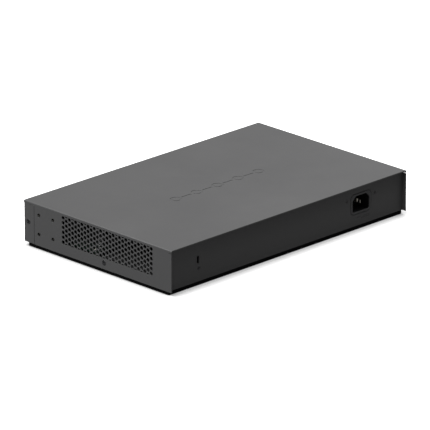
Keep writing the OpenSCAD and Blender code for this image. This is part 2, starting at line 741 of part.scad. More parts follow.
// children stand at each jack's inner corner, mirrored for the lower row
module at_jacks() {
    for (i = [-1.5 : 1.5], row = [0, 1]) translate([i * jack_step, bank_front, parts_z + bank_h / 2])
        mirror([0, 0, row]) translate([0, 0, web]) children();
}
// mouth of one jack: plug hole, latch step and key
module jack_mouth(grow, y0, depth) {
    span([-plug_w / 2 - grow, y0, -grow], [plug_w / 2 + grow, y0 + depth, plug_h + grow]);
    for (step = [[3, 1.4], [1.8, 2.4]])
        span([-step[0] - grow, y0, 0], [step[0] + grow, y0 + depth, plug_h + step[1] + grow]);
}
module jack_shell(n) {
    color("silver") translate([banks[n - 1], 0, 0]) difference() {
        span([-bank_w / 2, bank_front, parts_z], [bank_w / 2, bank_front + bank_depth, parts_z + bank_h]);
        span([-bank_w / 2 + shell_t, bank_front + shell_t, parts_z - 1],
            [bank_w / 2 - shell_t, bank_front + bank_depth - shell_t, parts_z + bank_h - shell_t]);
        at_jacks() jack_mouth(0.15, -1, shell_t + 2);
    }
}
module jack_insert(n) {
    skin = shell_t + 0.05;
    color([0.1, 0.1, 0.1]) translate([banks[n - 1], 0, 0]) difference() {
        span([-bank_w / 2 + skin, bank_front + skin, parts_z],
            [bank_w / 2 - skin, bank_front + bank_depth - skin, parts_z + bank_h - skin]);
        at_jacks() jack_mouth(0, 0, mouth_deep);
    }
}
module jack_contacts(n) {
    wires = 8;
    wire_step = 1.02;
    wire = 0.35;
    rise = 2.2;
    color("gold") translate([banks[n - 1], 0, 0]) at_jacks() for (k = [0 : wires - 1])
        push_x((k - (wires - 1) / 2) * wire_step - wire / 2, wire)
            polygon([[5, 0], [5.6, 0], [11, rise - wire], [12, rise - wire], [13.3, 0], [mouth_deep, 0],
                [mouth_deep, wire], [13.6, wire], [12.2, rise], [10.8, rise]]);
}
module jack_shell_1() { jack_shell(1); }
module jack_shell_2() { jack_shell(2); }
module jack_shell_3() { jack_shell(3); }
module jack_insert_1() { jack_insert(1); }
module jack_insert_2() { jack_insert(2); }
module jack_insert_3() { jack_insert(3); }
module jack_contacts_1() { jack_contacts(1); }
module jack_contacts_2() { jack_contacts(2); }
module jack_contacts_3() { jack_contacts(3); }

// ---------- light pipes and button ----------
pipe_back = bank_front + bank_depth + 3.5;
module port_light_pipes() {
    low = pipe_z - pipe / 2;
    high = pipe_z + pipe / 2;
    foot = parts_z + 1;
    knee = pipe_back - pipe;
    tie = [52, 3, pipe]; // bars that join one bank's pipes
    color("white") {
        for (x = pipe_xs) push_x(x - pipe / 2, pipe) polygon([[bank_front, low], [knee, low], [knee, foot],
            [pipe_back, foot], [pipe_back, low], [knee, high], [bank_front, high]]);
        for (x = banks, y = [-90, -80]) translate([x - tie[0] / 2, y, low]) cube(tie);
    }
}
module status_light_pipe() {
    back = -93;
    block = 3;
    color("white") {
        for (x = status_xs) rod_y([x, bank_front, button_z], status_r, back - bank_front - 2);
        span([status_xs[0] - 2, back - block, parts_z], [status_xs[2] + 2, back, button_z + block / 2]);
    }
}
button_back = -95;
module mode_button() {
    collar_y = -half_d + sheet + gap;
    collar = 1;
    color([0.1, 0.1, 0.1]) {
        rod_y([button_x, bank_front, button_z], button_r, collar_y - bank_front);
        rod_y([button_x, collar_y, button_z], button_r + collar, collar);
        rod_y([button_x, collar_y + collar, button_z], stem_r, button_back - collar_y - collar);
    }
}
module button_switch() {
    plunger_y = button_back + button_travel + 0.05;
    plunger = 1.5;
    body = [6, 5, 7];
    color([0.15, 0.15, 0.15]) {
        rod_y([button_x, plunger_y, button_z], plunger, plunger);
        translate([button_x - body[0] / 2, plunger_y + plunger, parts_z]) cube(body);
    }
}

// ---------- fans ----------
bracket_x = -wall_in + 3;
fan_x = bracket_x + sheet; // outer face of a fan frame
fan_z = floor_z + fan_size / 2 + 0.6;
fan_ys = [-14, 34];
fan_hole_pitch = fan_size - 8;
duct_r = fan_size / 2 - 1;
hub_r = 8.5;
shaft_r = 1;
module fan_holes(r, x0, length) {
    for (y = fan_ys, a = [-1, 1], b = [-1, 1])
        rod_x([x0, y + a * fan_hole_pitch / 2, fan_z + b * fan_hole_pitch / 2], r, length);
}
module fan_bracket() {
    low_y = fan_ys[0] - fan_size / 2;
    high_y = fan_ys[1] + fan_size / 2;
    color("silver") difference() {
        span([bracket_x, low_y, floor_z], [fan_x, high_y, fan_z + fan_size / 2]);
        for (y = fan_ys) rod_x([bracket_x - 1, y, fan_z], duct_r, sheet + 2);
        fan_holes(screw_r + play, bracket_x - 1, sheet + 2);
    }
}
module fan_frame(n) {
    y = fan_ys[n - 1];
    plate = 2;
    hub_seat = fan_depth - plate;
    post_r = shaft_r + 1.6;
    post = 5; // inner end of the bearing post, from the frame's face
    strut = 2.4;
    color([0.07, 0.07, 0.07]) difference() {
        union() {
            difference() {
                push_x(fan_x, fan_depth) translate([y - fan_size / 2, fan_z - fan_size / 2])
                    rounded(fan_size, fan_size, 3);
                rod_x([fan_x - 1, y, fan_z], duct_r, fan_depth + 2);
            }
            rod_x([fan_x + hub_seat, y, fan_z], hub_r, plate);
            rod_x([fan_x + post, y, fan_z], post_r, hub_seat - post);
            for (a = [45 : 90 : 315]) translate([fan_x + hub_seat, y, fan_z]) rotate([a, 0, 0])
                translate([0, hub_r - 1, -strut / 2]) cube([plate, duct_r - hub_r + 2, strut]);
        }
        rod_x([fan_x + post - 1, y, fan_z], shaft_r + 0.05, hub_seat - post);
        fan_holes(screw_r + play, fan_x - 1, fan_depth + 2);
    }
}
module fan_rotor(n) {
    y = fan_ys[n - 1];
    cup = 13;
    front = 1.5;
    root = hub_r - 0.6;
    blade = [1, 14, 14];
    pitch = 48;
    color([0.05, 0.05, 0.05]) translate([fan_x + front, y, fan_z]) {
        difference() {
            rod_x([0, 0, 0], hub_r, cup);
            rod_x([1.5, 0, 0], hub_r - 1.2, cup);
        }
        rod_x([1, 0, 0], shaft_r, 14);
        intersection() {
            for (i = [0 : fan_blades - 1]) rotate([i * 360 / fan_blades, 0, 0])
                translate([cup / 2, 0, root]) rotate([0, 0, pitch])
                    translate([-blade[0] / 2, -blade[1] / 2, 0]) cube(blade);
            difference() {
                rod_x([0, 0, 0], duct_r - 0.8, cup);
                rod_x([-1, 0, 0], root, cup + 2);
            }
        }
    }
}
module fan_frame_1() { fan_frame(1); }
module fan_frame_2() { fan_frame(2); }
module fan_rotor_1() { fan_rotor(1); }
module fan_rotor_2() { fan_rotor(2); }
module fan_screws() {
    head = 1.4;
    color("silver") {
        fan_holes(head_r, bracket_x - head, head);
        fan_holes(screw_r, bracket_x - eps, 9);
    }
}
module fan_leads() {
    wire_r = 0.7;
    apart = 1.3; // each wire from the middle of its pair
    frame_x = fan_x + fan_depth;
    frame_y = fan_ys[0] - 17;
    color([0.1, 0.1, 0.1]) for (i = [0, 1], s = [-1, 1]) {
        start = [frame_x, frame_y + s * apart, 20 + i * 14];
        middle = [-128, -34 - i * 8 + s * apart, 24 + i * 8];
        finish = [fan_headers[i][0] + s * 1.5, fan_headers[i][1], parts_z + fan_header[2]];
        lead([start, start + [4, 0, 0], middle, finish + [0, 0, 8], finish], wire_r);
    }
}

top_cover();
base_pan();
front_bezel();
bottom_plate();
rubber_feet();
cover_screws();
bezel_screws();
rack_ear_nuts();
lock_bracket();
lock_bracket_screw();
inlet_body();
inlet_pins();
inlet_screws();
live_lead();
neutral_lead();
earth_lead();
earth_stud();
psu_board();
psu_insulator();
transformer_core();
transformer_winding();
bulk_capacitors();
output_capacitors();
psu_heatsinks();
power_transistors();
filter_choke();
filter_capacitor();
line_fuse();
psu_connectors();
supply_harness();
standoffs();
board_screws();
main_board();
switch_chip();
switch_heatsink();
board_chips();
port_magnetics();
board_capacitors();
power_inductors();
board_headers();
jack_shell_1();
jack_shell_2();
jack_shell_3();
jack_insert_1();
jack_insert_2();
jack_insert_3();
jack_contacts_1();
jack_contacts_2();
jack_contacts_3();
port_light_pipes();
status_light_pipe();
mode_button();
button_switch();
fan_bracket();
fan_frame_1();
fan_frame_2();
fan_rotor_1();
fan_rotor_2();
fan_screws();
fan_leads();
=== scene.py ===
import json
import math

import bmesh
import bpy
from mathutils import Matrix, Vector


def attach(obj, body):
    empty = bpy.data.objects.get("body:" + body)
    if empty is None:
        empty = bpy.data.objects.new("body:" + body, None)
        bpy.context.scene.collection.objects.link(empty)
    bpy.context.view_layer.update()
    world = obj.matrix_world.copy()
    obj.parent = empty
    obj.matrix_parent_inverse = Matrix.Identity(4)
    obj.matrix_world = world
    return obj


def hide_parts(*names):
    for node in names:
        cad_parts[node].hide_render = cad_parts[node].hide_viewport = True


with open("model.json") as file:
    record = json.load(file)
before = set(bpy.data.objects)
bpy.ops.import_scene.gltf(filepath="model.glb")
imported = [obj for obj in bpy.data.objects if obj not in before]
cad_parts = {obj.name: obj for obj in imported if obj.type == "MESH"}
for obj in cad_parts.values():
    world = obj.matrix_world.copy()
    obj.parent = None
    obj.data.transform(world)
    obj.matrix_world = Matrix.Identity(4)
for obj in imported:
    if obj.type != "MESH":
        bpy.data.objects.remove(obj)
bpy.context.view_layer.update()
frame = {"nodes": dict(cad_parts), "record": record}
mm = 0.001

# camera: seen from behind the right-hand side and a little above
camera = {
    "azimuth": 135.0,
    "elevation": 20.0,
    "distance": 5.767,
    "lens": 485.3,
    "aimSide": -0.00148,
    "aimUp": 0.01056,
    "aimHeight": 0.004,
}


def addCamera():
    turn, tilt = math.radians(camera["azimuth"]), math.radians(camera["elevation"])
    back = Vector((math.sin(turn) * math.cos(tilt), -math.cos(turn) * math.cos(tilt), math.sin(tilt)))
    side = Vector((math.cos(turn), math.sin(turn), 0))
    up = back.cross(side)
    data = bpy.data.cameras.new("camera")
    data.lens = camera["lens"]
    data.sensor_width = 36
    data.clip_end = 50
    eye = bpy.data.objects.new("camera", data)
    eye.location = (back * camera["distance"] + side * camera["aimSide"] + up * camera["aimUp"]
                    + Vector((0, 0, camera["aimHeight"])))
    eye.rotation_mode = "QUATERNION"
    eye.rotation_quaternion = (-back).to_track_quat("-Z", "Y")
    bpy.context.scene.collection.objects.link(eye)
    bpy.context.scene.camera = eye


addCamera()

# shader helpers


def newNode(tree, kind, place=(0, 0), **values):
    node = tree.nodes.new(kind)
    node.location = place
    for name, value in values.items():
        setattr(node, name, value)
    return node


def setInputs(node, **values):
    for name, value in values.items():
        node.inputs[name.replace("_", " ")].default_value = value


def startGroup(name, inputs, outputs):
    group = bpy.data.node_groups.new(name, "ShaderNodeTree")
    for label, kind, value in inputs:
        socket = group.interface.new_socket(name=label, in_out="INPUT", socket_type=kind)
        socket.default_value = value
    for label, kind in outputs:
        group.interface.new_socket(name=label, in_out="OUTPUT", socket_type=kind)
    start = newNode(group, "NodeGroupInput", (-900, 0))
    end = newNode(group, "NodeGroupOutput", (700, 0))
    return group, start, end


floatKind, vectorKind = "NodeSocketFloat", "NodeSocketVector"


def mathNode(tree, operation, first, second=None, place=(0, 0), clamp=False):
    node = newNode(tree, "ShaderNodeMath", place, operation=operation, use_clamp=clamp)
    for index, value in enumerate([first, second]):
        if value is None:
            continue
        if isinstance(value, (int, float)):
            node.inputs[index].default_value = value
        else:
            tree.links.new(value, node.inputs[index])
    return node.outputs[0]


def mapRange(tree, value, fromLow, fromHigh, toLow, toHigh, place=(0, 0)):
    node = newNode(tree, "ShaderNodeMapRange", place)
    tree.links.new(value, node.inputs["Value"])
    for name, number in (("From Min", fromLow), ("From Max", fromHigh), ("To Min", toLow),
                         ("To Max", toHigh)):
        if isinstance(number, (int, float)):
            node.inputs[name].default_value = number
        else:
            tree.links.new(number, node.inputs[name])
    return node.outputs["Result"]


def mixColors(tree, factor, first, second, place=(0, 0), blend="MIX"):
    node = newNode(tree, "ShaderNodeMix", place, data_type="RGBA", blend_type=blend)
    for name, value in (("Factor", factor), ("A", first), ("B", second)):
        socket = [s for s in node.inputs if s.name == name and s.enabled][0]
        if isinstance(value, bpy.types.NodeSocket):
            tree.links.new(value, socket)
        else:
            socket.default_value = value if name == "Factor" or len(value) == 4 else (*value, 1)
    return [s for s in node.outputs if s.enabled][0]


def noiseOn(tree, coordinate, scale, detail=2.0, roughness=0.5, place=(0, 0)):
    node = newNode(tree, "ShaderNodeTexNoise", place)
    node.inputs["Detail"].default_value = detail
    node.inputs["Roughness"].default_value = roughness
    tree.links.new(coordinate, node.inputs["Vector"])
    if isinstance(scale, (int, float)):
        node.inputs["Scale"].default_value = scale
    else:
        tree.links.new(scale, node.inputs["Scale"])
    return node.outputs["Fac"]


# powder coat: small rounded lumps with a finer pebble on them, and slow drifts in tone
def makeCoatGroup():
    group, start, end = startGroup("powderCoat", [("Lump Scale", floatKind, 900.0),
                                                  ("Drift Scale", floatKind, 9.0)],
                                   [("Height", floatKind), ("Drift", floatKind), ("Speck", floatKind)])
    place = newNode(group, "ShaderNodeTexCoord", (-900, -300)).outputs["Object"]
    lumps = newNode(group, "ShaderNodeTexVoronoi", (-500, 200), feature="SMOOTH_F1")
    lumps.inputs["Smoothness"].default_value = 0.6
    group.links.new(place, lumps.inputs["Vector"])
    group.links.new(start.outputs["Lump Scale"], lumps.inputs["Scale"])
    fineScale = mathNode(group, "MULTIPLY", start.outputs["Lump Scale"], 2.3, (-700, -50))
    fine = noiseOn(group, place, fineScale, 2.0, 0.6, (-500, -50))
    height = mathNode(group, "ADD", mathNode(group, "MULTIPLY", lumps.outputs["Distance"], 0.7,
                                             (-300, 200)),
                      mathNode(group, "MULTIPLY", fine, 0.5, (-300, -50)), (-100, 100))
    drift = noiseOn(group, place, start.outputs["Drift Scale"], 4.0, 0.6, (-500, -300))
    speck = mapRange(group, fine, 0.62, 0.74, 0.0, 1.0, (-100, -250))
    group.links.new(height, end.inputs["Height"])
    group.links.new(drift, end.inputs["Drift"])
    group.links.new(speck, end.inputs["Speck"])
    return group


# fine grain of a moulded or sintered surface, with flow marks
def makeGrainGroup():
    group, start, end = startGroup("mouldGrain", [("Grain Scale", floatKind, 1500.0),
                                                  ("Flow Scale", floatKind, 30.0)],
                                   [("Height", floatKind), ("Flow", floatKind)])
    place = newNode(group, "ShaderNodeTexCoord", (-900, -300)).outputs["Object"]
    grain = noiseOn(group, place, start.outputs["Grain Scale"], 3.0, 0.7, (-500, 200))
    flow = noiseOn(group, place, start.outputs["Flow Scale"], 3.0, 0.55, (-500, -100))
    group.links.new(grain, end.inputs["Height"])
    group.links.new(flow, end.inputs["Flow"])
    return group


# wear that gathers on outer edges, broken up by noise
def makeWearGroup():
    group, start, end = startGroup("edgeWear", [("Amount", floatKind, 0.5),
                                                ("Break Scale", floatKind, 300.0)],
                                   [("Mask", floatKind)])
    place = newNode(group, "ShaderNodeTexCoord", (-900, -300)).outputs["Object"]
    eased = newNode(group, "ShaderNodeBevel", (-900, 300), samples=4)
    eased.inputs["Radius"].default_value = 0.3 * mm
    facing = newNode(group, "ShaderNodeNewGeometry", (-900, 100)).outputs["Normal"]
    compare = newNode(group, "ShaderNodeVectorMath", (-700, 200), operation="DOT_PRODUCT")
    group.links.new(eased.outputs["Normal"], compare.inputs[0])
    group.links.new(facing, compare.inputs[1])
    edge = mapRange(group, compare.outputs["Value"], 0.97, 0.80, 0.0, 1.0, (-500, 100))
    broken = mapRange(group, noiseOn(group, place, start.outputs["Break Scale"], 4.0, 0.65, (-700, -200)),
                      0.45, 0.7, 0.0, 1.0, (-500, -200))
    both = mathNode(group, "MULTIPLY", edge, broken, (-200, 0))
    group.links.new(mathNode(group, "MULTIPLY", both, start.outputs["Amount"], (0, 0), True),
                    end.inputs["Mask"])
    return group


# dust that settles on faces that look up
def makeDustGroup():
    group, start, end = startGroup("settledDust", [("Amount", floatKind, 0.2),
                                                   ("Patch Scale", floatKind, 14.0)],
                                   [("Mask", floatKind)])
    place = newNode(group, "ShaderNodeTexCoord", (-900, -300)).outputs["Object"]
    facing = newNode(group, "ShaderNodeNewGeometry", (-900, 100)).outputs["Normal"]
    split = newNode(group, "ShaderNodeSeparateXYZ", (-700, 100))
    group.links.new(facing, split.inputs[0])
    upward = mapRange(group, split.outputs["Z"], 0.35, 0.95, 0.0, 1.0, (-500, 100))
    patch = mapRange(group, noiseOn(group, place, start.outputs["Patch Scale"], 6.0, 0.7, (-700, -200)),
                     0.35, 0.75, 0.25, 1.0, (-500, -200))
    both = mathNode(group, "MULTIPLY", upward, patch, (-200, 0))
    group.links.new(mathNode(group, "MULTIPLY", both, start.outputs["Amount"], (0, 0), True),
                    end.inputs["Mask"])
    return group


# lines of a drawn, rolled or brushed metal surface
def makeBrushGroup():
    group, start, end = startGroup("drawnLines", [("Line Scale", floatKind, 1200.0),
                                                  ("Stretch", vectorKind, (0.02, 1, 1))],
                                   [("Height", floatKind), ("Cloud", floatKind)])
    place = newNode(group, "ShaderNodeTexCoord", (-900, -300)).outputs["Object"]
    pulled = newNode(group, "ShaderNodeVectorMath", (-700, 100), operation="MULTIPLY")
    group.links.new(place, pulled.inputs[0])
    group.links.new(start.outputs["Stretch"], pulled.inputs[1])
    lines = noiseOn(group, pulled.outputs[0], start.outputs["Line Scale"], 3.0, 0.6, (-500, 100))
    cloud = noiseOn(group, place, 60.0, 4.0, 0.6, (-500, -200))
    group.links.new(lines, end.inputs["Height"])
    group.links.new(cloud, end.inputs["Cloud"])
    return group


groups = {
    "coat": makeCoatGroup(),
    "grain": makeGrainGroup(),
    "wear": makeWearGroup(),
    "dust": makeDustGroup(),
    "brush": makeBrushGroup(),
}


def placeGroup(tree, which, place=(0, 0), **values):
    node = newNode(tree, "ShaderNodeGroup", place)
    node.node_tree = groups[which]
    for name, value in values.items():
        node.inputs[name.replace("_", " ")].default_value = value
    return node


def startMaterial(name):
    material = bpy.data.materials.new(name)
    material.use_nodes = True
    tree = material.node_tree
    shader = tree.nodes["Principled BSDF"]
    return material, tree, shader


def addBump(tree, shader, height, strength, distance):
    bump = newNode(tree, "ShaderNodeBump", (-200, -400))
    bump.inputs["Strength"].default_value = strength
    bump.inputs["Distance"].default_value = distance
    tree.links.new(height, bump.inputs["Height"])
    tree.links.new(bump.outputs["Normal"], shader.inputs["Normal"])


def scaled(color, factor):
    return tuple(min(1.0, c * factor) for c in color)


print("shader groups made:", len(groups))

# finishes

dustTone = {"steel": (0.36, 0.35, 0.33), "moulded": (0.36, 0.34, 0.31), "board": (0.34, 0.33, 0.30)}

coatedSteel = {
    "painted_steel": {"color": (0.082, 0.082, 0.083), "rough": 0.56, "lump": 0.9, "dust": 0.03,
                      "wear": 0.20},
    "pan_steel": {"color": (0.076, 0.076, 0.077), "rough": 0.60, "lump": 0.9, "dust": 0.03, "wear": 0.12},
}


def makeCoatedSteel(name, look):
    material, tree, shader = startMaterial(name)
    links = tree.links
    coat = placeGroup(tree, "coat", (-1100, 200), Lump_Scale=950.0, Drift_Scale=11.0)
    dust = placeGroup(tree, "dust", (-1100, -50), Amount=look["dust"], Patch_Scale=16.0)
    wear = placeGroup(tree, "wear", (-1100, -250), Amount=look["wear"], Break_Scale=260.0)
    body = mixColors(tree, coat.outputs["Drift"], scaled(look["color"], 0.96), scaled(look["color"], 1.04),
                     (-800, 300))
    flecked = mixColors(tree, mathNode(tree, "MULTIPLY", coat.outputs["Speck"], 0.16, (-800, 120)),
                        body, scaled(look["color"], 1.7), (-600, 260))
    dusty = mixColors(tree, dust.outputs["Mask"], flecked, dustTone["steel"], (-400, 220))
    worn = mixColors(tree, wear.outputs["Mask"], dusty, (0.42, 0.42, 0.43), (-200, 200))
    links.new(worn, shader.inputs["Base Color"])
    rough = mapRange(tree, coat.outputs["Drift"], 0.25, 0.75, look["rough"] - 0.05, look["rough"] + 0.06,
                     (-400, -50))
    rougher = mathNode(tree, "ADD", rough, mathNode(tree, "MULTIPLY", dust.outputs["Mask"], 0.5,
                                                    (-400, -200)),
                       (-200, -80), True)
    links.new(rougher, shader.inputs["Roughness"])
    links.new(wear.outputs["Mask"], shader.inputs["Metallic"])
    shader.inputs["Specular IOR Level"].default_value = 0.45
    addBump(tree, shader, coat.outputs["Height"], 0.35, look["lump"] * 0.06 * mm)
    return material


bareMetal = {
    "zinc": {"color": (0.60, 0.60, 0.57), "rough": 0.38, "cloud": 0.16, "tint": (0.66, 0.64, 0.52)},
    "nickel": {"color": (0.33, 0.32, 0.30), "rough": 0.34, "cloud": 0.08, "tint": (0.78, 0.74, 0.64)},
    "jack_steel": {"color": (0.64, 0.64, 0.65), "rough": 0.33, "cloud": 0.10, "tint": (0.58, 0.59, 0.62)},
    "gold": {"color": (0.83, 0.60, 0.22), "rough": 0.28, "cloud": 0.08, "tint": (0.88, 0.68, 0.30)},
    "sink_aluminium": {"color": (0.68, 0.69, 0.70), "rough": 0.42, "cloud": 0.10,
                       "tint": (0.60, 0.61, 0.63)},
    "black_sink": {"color": (0.05, 0.05, 0.055), "rough": 0.46, "cloud": 0.10, "tint": (0.08, 0.08, 0.085)},
    "aluminium_can": {"color": (0.76, 0.76, 0.77), "rough": 0.30, "cloud": 0.06,
                      "tint": (0.70, 0.70, 0.72)},
    "dark_screw": {"color": (0.075, 0.076, 0.08), "rough": 0.42, "cloud": 0.12,
                   "tint": (0.11, 0.11, 0.115)},
}


def makeBareMetal(name, look):
    material, tree, shader = startMaterial(name)
    links = tree.links
    brush = placeGroup(tree, "brush", (-1100, 200), Line_Scale=1400.0)
    wear = placeGroup(tree, "wear", (-1100, -250), Amount=0.5, Break_Scale=400.0)
    body = mixColors(tree, brush.outputs["Cloud"], look["color"], look["tint"], (-600, 260))
    shiny = mixColors(tree, wear.outputs["Mask"], body, scaled(look["color"], 1.25), (-300, 220))
    links.new(shiny, shader.inputs["Base Color"])
    shader.inputs["Metallic"].default_value = 1.0
    rough = mapRange(tree, brush.outputs["Cloud"], 0.3, 0.7, look["rough"] - look["cloud"] / 2,
                     look["rough"] + look["cloud"] / 2, (-500, -50))
    links.new(rough, shader.inputs["Roughness"])
    addBump(tree, shader, brush.outputs["Height"], 0.25, 0.02 * mm)
    return material


moulded = {
    "foot_rubber": {"color": (0.022, 0.022, 0.023), "rough": 0.86, "grain": 1100.0, "depth": 0.05,
                    "dust": 0.25},
    # painted shade: the bottom plate is near black with almost no shine, standing in for the deep shadow
    # under the case
    "base_plastic": {"color": (0.003, 0.003, 0.0033), "rough": 0.66, "grain": 900.0, "depth": 0.04,
                     "dust": 0.004, "shine": 0.06},
    "button_plastic": {"color": (0.045, 0.045, 0.048), "rough": 0.48, "grain": 1700.0, "depth": 0.02,
                       "dust": 0.03},
    "fan_plastic": {"color": (0.022, 0.022, 0.024), "rough": 0.52, "grain": 1300.0, "depth": 0.03,
                    "dust": 0.30},
    "jack_plastic": {"color": (0.026, 0.026, 0.028), "rough": 0.48, "grain": 1600.0, "depth": 0.02,
                     "dust": 0.04},
    "chip_epoxy": {"color": (0.020, 0.020, 0.021), "rough": 0.62, "grain": 2200.0, "depth": 0.02,
                   "dust": 0.10},
    "white_nylon": {"color": (0.70, 0.68, 0.61), "rough": 0.44, "grain": 1200.0, "depth": 0.02,
                    "dust": 0.08},
    "film": {"color": (0.028, 0.028, 0.030), "rough": 0.36, "grain": 500.0, "depth": 0.02, "dust": 0.12},
    "ferrite": {"color": (0.050, 0.050, 0.054), "rough": 0.74, "grain": 1500.0, "depth": 0.06,
                "dust": 0.10},
    "fuse_ceramic": {"color": (0.72, 0.70, 0.65), "rough": 0.32, "grain": 900.0, "depth": 0.01,
                     "dust": 0.05},
    "film_capacitor": {"color": (0.64, 0.45, 0.07), "rough": 0.40, "grain": 1300.0, "depth": 0.02,
                       "dust": 0.08},
    "ink": {"color": (0.035, 0.035, 0.036), "rough": 0.55, "grain": 2400.0, "depth": 0.005, "dust": 0.0},
    "wire_brown": {"color": (0.16, 0.065, 0.028), "rough": 0.40, "grain": 900.0, "depth": 0.02,
                   "dust": 0.05},
    "wire_blue": {"color": (0.035, 0.13, 0.40), "rough": 0.40, "grain": 900.0, "depth": 0.02, "dust": 0.05},
    "wire_earth": {"color": (0.14, 0.34, 0.05), "rough": 0.40, "grain": 900.0, "depth": 0.02, "dust": 0.05},
    "wire_red": {"color": (0.42, 0.030, 0.025), "rough": 0.40, "grain": 900.0, "depth": 0.02, "dust": 0.05},
    "wire_black": {"color": (0.022, 0.022, 0.023), "rough": 0.42, "grain": 900.0, "depth": 0.02,
                   "dust": 0.05},
}


def makeMoulded(name, look):
    material, tree, shader = startMaterial(name)
    links = tree.links
    grain = placeGroup(tree, "grain", (-1100, 200), Grain_Scale=look["grain"], Flow_Scale=45.0)
    dust = placeGroup(tree, "dust", (-1100, -50), Amount=look["dust"], Patch_Scale=60.0)
    wear = placeGroup(tree, "wear", (-1100, -250), Amount=0.35, Break_Scale=500.0)
    body = mixColors(tree, grain.outputs["Flow"], scaled(look["color"], 0.82), scaled(look["color"], 1.2),
                     (-800, 260))
    rubbed = mixColors(tree, wear.outputs["Mask"], body, scaled(look["color"], 2.2), (-500, 220))
    dusty = mixColors(tree, dust.outputs["Mask"], rubbed, dustTone["moulded"], (-300, 200))
    links.new(dusty, shader.inputs["Base Color"])
    rough = mapRange(tree, grain.outputs["Flow"], 0.3, 0.7, look["rough"] - 0.06, look["rough"] + 0.07,
                     (-500, -50))
    links.new(rough, shader.inputs["Roughness"])
    shader.inputs["Specular IOR Level"].default_value = look.get("shine", 0.5)
    addBump(tree, shader, grain.outputs["Height"], 0.5, look["depth"] * mm)
    return material


materials = {}
for name, look in coatedSteel.items():
    materials[name] = makeCoatedSteel(name, look)
for name, look in bareMetal.items():
    materials[name] = makeBareMetal(name, look)
for name, look in moulded.items():
    materials[name] = makeMoulded(name, look)


# circuit boards: traces, vias and drifting tone under the lacquer
boards = {
    "green_board": {"mask": (0.005, 0.024, 0.014), "trace": (0.009, 0.045, 0.025),
                    "via": (0.40, 0.35, 0.20), "rough": 0.30},
    "supply_board": {"mask": (0.34, 0.22, 0.085), "trace": (0.42, 0.28, 0.12), "via": (0.55, 0.52, 0.48),
                     "rough": 0.42},
}


def makeBoard(name, look):
    material, tree, shader = startMaterial(name)
    links = tree.links
    place = newNode(tree, "ShaderNodeTexCoord", (-1500, 0)).outputs["Object"]
    lanes = newNode(tree, "ShaderNodeTexBrick", (-1200, 200))
    setInputs(lanes, Scale=120.0, Mortar_Size=0.012, Bias=-0.2)
    links.new(place, lanes.inputs["Vector"])
    fine = newNode(tree, "ShaderNodeTexWave", (-1200, -100), wave_type="BANDS", bands_direction="Y")
    setInputs(fine, Scale=180.0, Distortion=0.6, Detail=1.0)
    links.new(place, fine.inputs["Vector"])
    zone = mapRange(tree, noiseOn(tree, place, 35.0, 1.0, 0.4, (-1200, -400)), 0.48, 0.52, 0.0, 1.0,
                    (-1000, -400))
    strips = mapRange(tree, fine.outputs["Fac"], 0.55, 0.7, 0.0, 1.0, (-1000, -100))
    run = mathNode(tree, "MULTIPLY", strips, zone, (-800, -200))
    traces = mathNode(tree, "MAXIMUM", run, lanes.outputs["Fac"], (-600, 0))
    dots = newNode(tree, "ShaderNodeTexVoronoi", (-1200, -650))
    dots.inputs["Scale"].default_value = 260.0
    links.new(place, dots.inputs["Vector"])
    vias = mathNode(tree, "MULTIPLY", mapRange(tree, dots.outputs["Distance"], 0.10, 0.13, 1.0, 0.0,
                                               (-1000, -650)),
                    zone, (-800, -600))
    dust = placeGroup(tree, "dust", (-1000, -850), Amount=0.12, Patch_Scale=40.0)
    tracked = mixColors(tree, traces, look["mask"], look["trace"], (-400, 200))
    drilled = mixColors(tree, vias, tracked, look["via"], (-250, 200))
    dusty = mixColors(tree, dust.outputs["Mask"], drilled, dustTone["board"], (-100, 200))
    links.new(dusty, shader.inputs["Base Color"])
    links.new(mapRange(tree, traces, 0.0, 1.0, look["rough"] + 0.05, look["rough"], (-300, -50)),
              shader.inputs["Roughness"])
    addBump(tree, shader, traces, 0.5, 0.03 * mm)
    return material


for name, look in boards.items():
    materials[name] = makeBoard(name, look)


# enamelled copper: each turn catches the light, and the lacquer varies from turn to turn
copperWire = {"bright": (0.72, 0.30, 0.10), "dark": (0.36, 0.13, 0.045),
              "worn": (0.85, 0.48, 0.25), "smooth": 0.2, "rough": 0.36}


def makeCopperWire():
    material, tree, shader = startMaterial("copper_wire")
    links = tree.links
    grain = placeGroup(tree, "grain", (-900, 100), Grain_Scale=900.0, Flow_Scale=180.0)
    wear = placeGroup(tree, "wear", (-900, -200), Amount=0.4, Break_Scale=500.0)
    body = mixColors(tree, grain.outputs["Flow"], copperWire["dark"], copperWire["bright"], (-500, 200))
    links.new(mixColors(tree, wear.outputs["Mask"], body, copperWire["worn"], (-300, 200)),
              shader.inputs["Base Color"])
    links.new(mapRange(tree, grain.outputs["Flow"], 0.3, 0.7, copperWire["smooth"], copperWire["rough"],
                       (-500, -50)),
              shader.inputs["Roughness"])
    shader.inputs["Metallic"].default_value = 0.85
    shader.inputs["Coat Weight"].default_value = 0.5
    shader.inputs["Coat Roughness"].default_value = 0.15
    addBump(tree, shader, grain.outputs["Height"], 0.3, 0.01 * mm)
    return material


# wound polyester tape: overlapping turns with a slight sag between them
tapeLook = {"light": (0.78, 0.56, 0.08), "shade": (0.56, 0.37, 0.04), "turnsPerMetre": 260.0}


